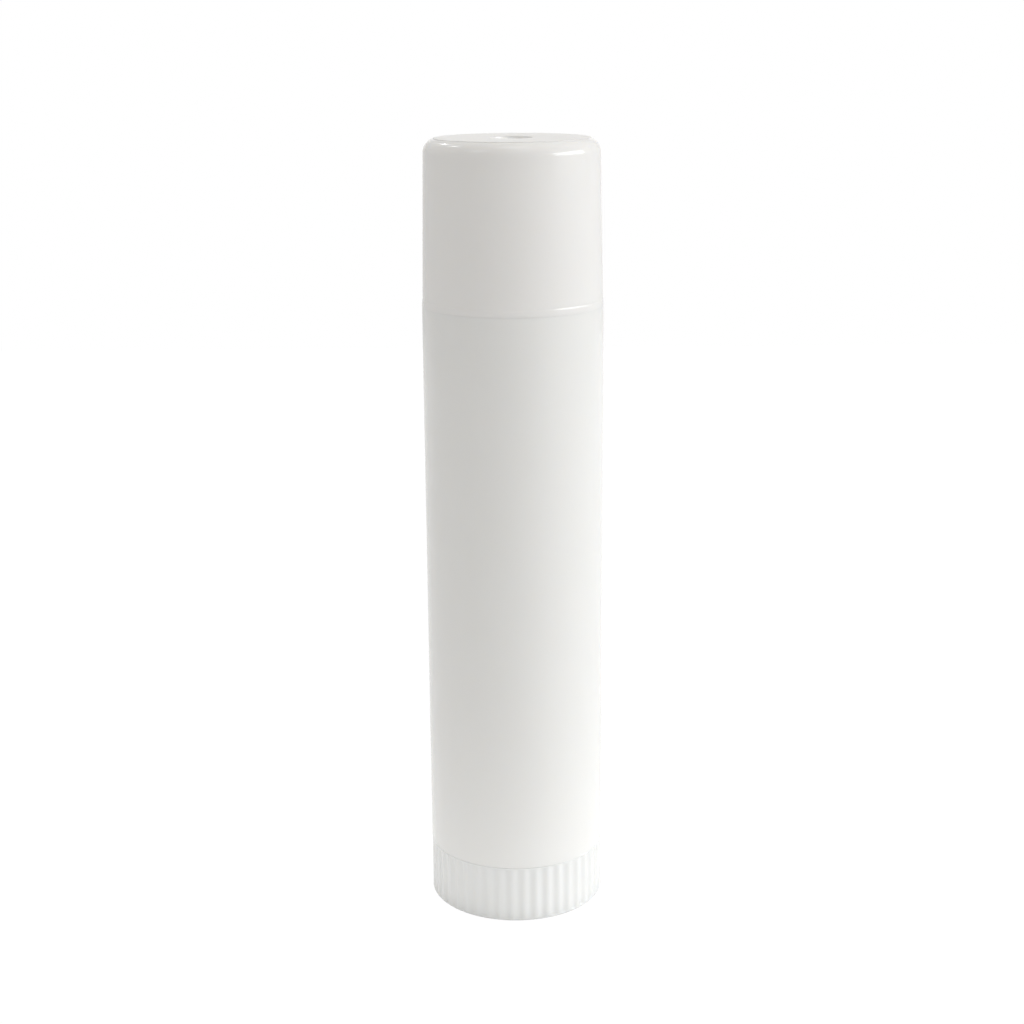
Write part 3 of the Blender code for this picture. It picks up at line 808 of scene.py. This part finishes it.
class BALM_OT_wheel(bpy.types.Operator):
    """Make the hand wheel: a fluted rim on a plain foot, its web and stiffeners, and the snap-in collar."""

    bl_idname = "balm.wheel"
    bl_label = "Hand wheel"

    def execute(self, context):
        wheel = context.scene.balm_wheel
        inner = wheel.radius - wheel.ring_wall
        web_top = wheel.height - wheel.step
        web_foot = web_top - wheel.web
        top = wheel.snap_foot + wheel.snap_height
        hollow = wheel.journal_radius - wheel.collar_wall
        corners = [
            (0.0, wheel.post_recess, 0.0),
            (wheel.post_radius, wheel.post_recess, SOFT),
            (wheel.post_radius, top - wheel.collar_wall, FULL),
            (hollow, top - wheel.collar_wall, FULL),
            (hollow, web_foot, SOFT),
            (inner, web_foot, FULL),
            (inner, 0.0, wheel.inner_round),
            (wheel.radius, 0.0, wheel.foot_round),
            (wheel.radius, wheel.height, wheel.top_round),
            (inner, wheel.height, wheel.step_round),
            (inner, web_top, wheel.step_round),
            (wheel.journal_radius, web_top, PLAIN),
            (wheel.journal_radius, wheel.snap_foot, PLAIN),
            (wheel.snap_radius, wheel.snap_foot, PLAIN),
            (wheel.snap_radius, top - wheel.snap_chamfer, SOFT),
            (wheel.snap_radius - wheel.snap_chamfer, top, SOFT),
            (0.0, top, 0.0),
        ]
        outline = rounded(corners)
        flute_end = wheel.height - wheel.flute_margin
        outer_half = (inner + wheel.ring_wall / 2, wheel.radius)
        for heights in (
            (wheel.flute_start, wheel.flute_start + wheel.flute_run_out),
            (flute_end - wheel.flute_run_out, flute_end),
        ):
            outline = with_rows(outline, heights, outer_half)
        piece = turned("hand_wheel", outline, FLUTE_COLUMNS)
        plastic = plastics(context.scene)["wheel"]
        run_tree(
            piece,
            trees()["flutes"],
            plastic,
            Count=wheel.flute_count,
            First_Angle=wheel.flute_angle,
            Depth=wheel.flute_depth,
            Start=wheel.flute_start,
            End=flute_end,
            Run_Out=wheel.flute_run_out,
            Skin=wheel.radius - wheel.top_round * 1.01,
        )
        low = wheel.post_recess + JOIN_OVERLAP
        high = web_foot + JOIN_OVERLAP
        stiffener = bar(
            "stiffener",
            wheel.stiffener_width,
            [
                (wheel.post_radius / 2, low),
                (inner + JOIN_OVERLAP, low),
                (inner + JOIN_OVERLAP, high),
                (wheel.post_radius / 2, high),
            ],
            PLAIN,
        )
        repeat_onto(piece, "UNION", stiffener, plastic, wheel.stiffener_count)
        finish_piece(piece, plastic, "wheel", "wheel_and_screw")
        return {"FINISHED"}


class BALM_OT_screw(bpy.types.Operator):
    """Make the screw that stands on the wheel's collar: a left-hand thread with two flats from the mould."""

    bl_idname = "balm.screw"
    bl_label = "Screw"

    def execute(self, context):
        screw = context.scene.balm_screw
        foot = screw.foot_height - JOIN_OVERLAP
        corners = [
            (0.0, foot, 0.0),
            (screw.core_radius, foot, 0.0),
            (screw.core_radius, screw.tip_height, screw.tip_round),
            (0.0, screw.tip_height, 0.0),
        ]
        outline = with_rows(rounded(corners), (foot, screw.tip_height), (0.0, screw.core_radius))
        piece = turned("lifting_screw", outline, ROD_COLUMNS)
        plastic = plastics(context.scene)["wheel"]
        run_tree(
            piece,
            trees()["thread"],
            plastic,
            Lead=screw.lead,
            Phase=screw.phase,
            Start=screw.thread_start,
            End=screw.thread_end,
            Run_Out=screw.run_out,
            Root_Width=screw.root_width,
            Crest_Width=screw.crest_width,
            Rise=screw.crest_radius - screw.core_radius,
            Reach=screw.crest_radius,
            Half_Flats=screw.across_flats / 2,
        )
        finish_piece(piece, plastic, "wheel", "wheel_and_screw")
        return {"FINISHED"}


class BALM_OT_cup(bpy.types.Operator):
    """Make the cup that climbs the screw: a threaded nut, a floor with fins and holes, and a slotted wall."""

    bl_idname = "balm.cup"
    bl_label = "Lifting cup"

    def execute(self, context):
        scene = context.scene
        cup, screw, barrel = scene.balm_cup, scene.balm_screw, scene.balm_barrel
        floor_top = cup.rim_height - cup.depth
        underside = floor_top - cup.floor
        hub_top = floor_top + cup.hub_rise
        bore = screw.core_radius + screw.thread_gap
        inner = cup.radius - cup.wall
        middle = (cup.foot_height + hub_top) / 2
        corners = [
            (bore, middle, 0.0),
            (bore, cup.foot_height, FINE),
            (cup.hub_radius, cup.foot_height, cup.edge_round),
            (cup.hub_radius, underside, cup.edge_round),
            (cup.radius, underside, cup.foot_round),
            (cup.radius, cup.rim_height, cup.edge_round),
            (inner, cup.rim_height, cup.edge_round),
            (inner, floor_top, cup.edge_round),
            (cup.hub_radius, floor_top, cup.edge_round),
            (cup.hub_radius, hub_top, cup.edge_round),
            (bore, hub_top, FINE),
            (bore, middle, 0.0),
        ]
        outline = with_rows(rounded(corners), (cup.foot_height, hub_top), (0.0, bore), ROW_SPACING * 2)
        piece = turned("balm_cup", outline[:-1], COLUMNS)
        plastic = plastics(scene)["cup"]
        # Whole turns below the screw's thread, so that the nut's grooves stay in step with it
        groove_start = screw.thread_start - 2 * screw.lead
        run_tree(
            piece,
            trees()["thread"],
            plastic,
            Lead=screw.lead,
            Phase=screw.phase,
            Start=groove_start,
            End=groove_start + 6 * screw.lead,
            Run_Out=screw.run_out,
            Root_Width=screw.root_width + 2 * screw.thread_gap,
            Crest_Width=screw.crest_width + 2 * screw.thread_gap,
            Rise=screw.crest_radius - screw.core_radius,
            Reach=bore + 1.25 * FINE,
            Half_Flats=cup.radius,
        )
        fin = bar(
            "fin",
            cup.fin_width,
            [
                (cup.hub_radius - JOIN_OVERLAP, floor_top - JOIN_OVERLAP),
                (inner + JOIN_OVERLAP, floor_top - JOIN_OVERLAP),
                (inner + JOIN_OVERLAP, floor_top + cup.fin_height),
                (cup.hub_radius - JOIN_OVERLAP, floor_top + cup.fin_height),
            ],
            FINE,
        )
        repeat_onto(piece, "UNION", fin, plastic, barrel.key_count, math.pi / barrel.key_count)
        slot_floor = inner - cup.key_gap
        slot = bar(
            "slot",
            barrel.key_width + 2 * cup.key_gap,
            [
                (slot_floor, underside - CUT_OVERRUN),
                (cup.radius + CUT_OVERRUN, underside - CUT_OVERRUN),
                (cup.radius + CUT_OVERRUN, cup.rim_height + CUT_OVERRUN),
                (slot_floor, cup.rim_height + CUT_OVERRUN),
            ],
            0.0,
        )
        repeat_onto(piece, "DIFFERENCE", slot, plastic, barrel.key_count)
        drill = floor_drill(cup, underside, floor_top, (cup.hub_radius + inner) / 2)
        repeat_onto(piece, "DIFFERENCE", drill, plastic, cup.hole_count, math.pi / cup.hole_count)
        finish_piece(piece, plastic, "cup", "lifting_cup")
        return {"FINISHED"}


def floor_drill(cup, underside, floor_top, ring):
    """One round cutter through the cup's floor, on the X axis."""
    shape = bmesh.new()
    bmesh.ops.create_cone(
        shape,
        cap_ends=True,
        segments=DRILL_COLUMNS,
        radius1=cup.hole_radius,
        radius2=cup.hole_radius,
        depth=floor_top - underside + 2 * CUT_OVERRUN,
        matrix=Matrix.Translation((ring, 0, (underside + floor_top) / 2)),
    )
    return add_object("floor_drill", shape)


class BALM_OT_stage(bpy.types.Operator):
    """Make the white table, the soft lights, the sky and the camera."""

    bl_idname = "balm.stage"
    bl_label = "Stage"

    def execute(self, context):
        stage = context.scene.balm_stage
        add_table(stage)
        add_sky(context.scene)
        for lamp in LAMPS:
            add_softbox(*lamp)
        add_camera(context.scene, stage)
        return {"FINISHED"}


def add_table(stage):
    """A white table, with a painted glow round the tube that fades to a painted contact shadow at the foot,
    and white where it is seen but for a faint shadow.
    """
    shape = bmesh.new()
    bmesh.ops.create_grid(shape, x_segments=1, y_segments=1, size=stage.table_size / 2)
    table = add_object("table", shape)
    material = bpy.data.materials.new("white_laminate")
    material.use_nodes = True
    tree = material.node_tree
    shader = tree.nodes["Principled BSDF"]
    shader.inputs["Base Color"].default_value = paint(stage.table)
    shader.inputs["Roughness"].default_value = 0.9
    shader.inputs["Specular IOR Level"].default_value = 0.0
    place = add_node(tree, "ShaderNodeTexCoord").outputs["Object"]
    away = add_node(tree, "ShaderNodeVectorMath", {0: place}, operation="LENGTH").outputs["Value"]
    # Painted light: a pool of emitted light on the table round the tube
    lit = add_node(
        tree,
        "ShaderNodeMapRange",
        {"Value": away, "From Min": stage.glow_end, "From Max": stage.glow_full, "To Max": stage.table_glow},
        interpolation_type="SMOOTHSTEP",
    )
    # Painted shadow: the glow fades to nothing towards the foot, as the foot's contact shadow
    clear = add_node(
        tree,
        "ShaderNodeMapRange",
        {"Value": away, "From Min": WHEEL_HIGH.x, "From Max": stage.glow_start},
        interpolation_type="SMOOTHSTEP",
    )
    glow = add_node(tree, "ShaderNodeMath", {0: lit, 1: clear}, operation="MULTIPLY")
    tree.links.new(glow.outputs[0], shader.inputs["Emission Strength"])
    shader.inputs["Emission Color"].default_value = (1.0, 1.0, 1.0, 1.0)
    white = add_node(tree, "ShaderNodeEmission", {"Strength": TABLE_WHITE})
    share = add_node(tree, "ShaderNodeMath", {0: seen_directly(tree), 1: WHITE_SHARE}, operation="MULTIPLY")
    mixed = add_node(tree, "ShaderNodeMixShader", {0: share, 1: shader, 2: white})
    tree.links.new(mixed.outputs[0], tree.nodes["Material Output"].inputs["Surface"])
    table.data.materials.append(material)


def seen_directly(tree):
    """1 for a ray from the camera or one that a gloss or clear surface sends on, 0 for a lighting ray."""
    path = add_node(tree, "ShaderNodeLightPath").outputs
    either = add_node(
        tree, "ShaderNodeMath", {0: path["Is Camera Ray"], 1: path["Is Glossy Ray"]}, operation="MAXIMUM"
    )
    through = path["Is Transmission Ray"]
    return add_node(tree, "ShaderNodeMath", {0: either, 1: through}, operation="MAXIMUM")


def add_sky(scene):
    """A white surround, weaker as light than it looks.

    A reflection shows it greyer, apart from the part straight behind the tube.
    """
    world = bpy.data.worlds.new("white_surround")
    world.use_nodes = True
    scene.world = world
    tree = world.node_tree
    background = tree.nodes["Background"]
    bearing = add_node(tree, "ShaderNodeTexCoord").outputs["Generated"]
    direction = add_node(tree, "ShaderNodeSeparateXYZ", {0: bearing}).outputs
    overhead = add_node(
        tree,
        "ShaderNodeMapRange",
        {
            "Value": direction["Z"],
            "From Min": HIGH_FROM[0],
            "From Max": HIGH_FROM[1],
            "To Min": LOW_LIGHT,
            "To Max": HIGH_LIGHT,
        },
        interpolation_type="SMOOTHSTEP",
    )
    seen = seen_directly(tree)
    aside = add_node(
        tree,
        "ShaderNodeMapRange",
        {
            "Value": direction["Y"],
            "From Min": STRAIGHT_BACK[0],
            "From Max": STRAIGHT_BACK[1],
            "To Max": REFLECTION_LOSS,
        },
    )
    gloss = add_node(tree, "ShaderNodeLightPath").outputs["Is Glossy Ray"]
    dimmed = add_node(tree, "ShaderNodeMath", {0: aside, 1: gloss}, operation="MULTIPLY")
    white = add_node(tree, "ShaderNodeMath", {0: 1.0, 1: dimmed}, operation="SUBTRACT")
    strength = add_node(tree, "ShaderNodeMapRange", {"Value": seen, "To Min": overhead, "To Max": white})
    tree.links.new(strength.outputs["Result"], background.inputs["Strength"])
    tint = add_node(
        tree,
        "ShaderNodeMix",
        {"Factor": seen, "A": paint(linear("#FFFDFA")), "B": paint(linear("#FFFFFF"))},
        data_type="RGBA",
    )
    tree.links.new(tint.outputs["Result"], background.inputs["Color"])


def add_softbox(name, azimuth, elevation, distance, size, power, colour):
    """A rectangular lamp at a bearing from the camera's side of the tube, aimed at the tube's middle."""
    lamp = bpy.data.lights.new(name, "AREA")
    lamp.shape = "RECTANGLE"
    lamp.size, lamp.size_y = size
    lamp.energy = power
    lamp.color = linear(colour)
    softbox = bpy.data.objects.new(name, lamp)
    bpy.context.scene.collection.objects.link(softbox)
    bearing = math.radians(azimuth)
    height = math.radians(elevation)
    level = Vector((math.sin(bearing), -math.cos(bearing), 0.0))
    away = level * math.cos(height) + Vector((0.0, 0.0, math.sin(height)))
    middle = (FRAME_LOW + FRAME_HIGH) / 2
    softbox.location = middle + away * distance
    softbox.rotation_euler = away.to_track_quat("Z", "Y").to_euler()


def add_camera(scene, stage):
    data = bpy.data.cameras.new("camera")
    data.sensor_width = 36.0
    data.lens = stage.camera_lens
    data.clip_start, data.clip_end = 0.01, 20.0
    camera = bpy.data.objects.new("camera", data)
    scene.collection.objects.link(camera)
    place = Matrix.Translation((stage.camera_side, -stage.camera_distance, stage.camera_height))
    turn = Matrix.Rotation(-stage.camera_yaw, 4, "Z")
    tip = Matrix.Rotation(math.pi / 2 - stage.camera_pitch, 4, "X")
    roll = Matrix.Rotation(stage.camera_roll, 4, "Z")
    camera.matrix_world = place @ turn @ tip @ roll
    scene.camera = camera
    scene.view_settings.view_transform = "Standard"


class BALM_PT_tube(bpy.types.Panel):
    bl_label = "Lip balm tube"
    bl_idname = "BALM_PT_tube"
    bl_space_type = "VIEW_3D"
    bl_region_type = "UI"
    bl_category = "Balm tube"

    def draw(self, context):
        for name, group in GROUPS.items():
            if name in STEPS:
                self.layout.operator(STEPS[name].bl_idname)
            for setting in group.__annotations__:
                self.layout.prop(getattr(context.scene, name), setting)


STEPS = {
    "balm_cap": BALM_OT_cap,
    "balm_barrel": BALM_OT_barrel,
    "balm_wheel": BALM_OT_wheel,
    "balm_screw": BALM_OT_screw,
    "balm_cup": BALM_OT_cup,
    "balm_stage": BALM_OT_stage,
}
made = {}


def trees():
    """The node trees, made on first use."""
    if "trees" not in made:
        made["trees"] = {"repeat": repeat_tree(), "flutes": flute_tree(), "thread": thread_tree()}
    return made["trees"]


def plastics(scene):
    """The plastics, made on first use."""
    if "plastics" not in made:
        colours = scene.balm_plastic
        top = scene.balm_cap.height
        # The cap's step: the panel above it is matt, and the band between the two heights gets painted shade
        step = (top - scene.balm_cap.panel_rise, top - PANEL_FILLET)
        white = {"peel": 0.000002, "translucency": 0.25}
        made["plastics"] = {
            "cap": moulded_plastic("cap_polypropylene", colours.cap, 0.16, step=step, **white),
            "barrel": moulded_plastic("barrel_polypropylene", colours.barrel, 0.22, **white),
            "wheel": moulded_plastic("wheel_polypropylene", colours.wheel, 0.22, **white),
            "cup": moulded_plastic("cup_polyethylene", colours.cup, 0.38, peel=0.000004, translucency=0.4),
        }
    return made["plastics"]


def register():
    for group in GROUPS.values():
        bpy.utils.register_class(group)
    for name, group in GROUPS.items():
        setattr(bpy.types.Scene, name, PointerProperty(type=group))
    for operator in STEPS.values():
        bpy.utils.register_class(operator)
    bpy.utils.register_class(BALM_PT_tube)


def unregister():
    bpy.utils.unregister_class(BALM_PT_tube)
    for operator in STEPS.values():
        bpy.utils.unregister_class(operator)
    for name, group in GROUPS.items():
        delattr(bpy.types.Scene, name)
        bpy.utils.unregister_class(group)


def main():
    register()
    bpy.ops.balm.cap()
    bpy.ops.balm.barrel()
    bpy.ops.balm.wheel()
    bpy.ops.balm.screw()
    bpy.ops.balm.cup()
    bpy.ops.balm.stage()


if __name__ == "__main__":
    main()
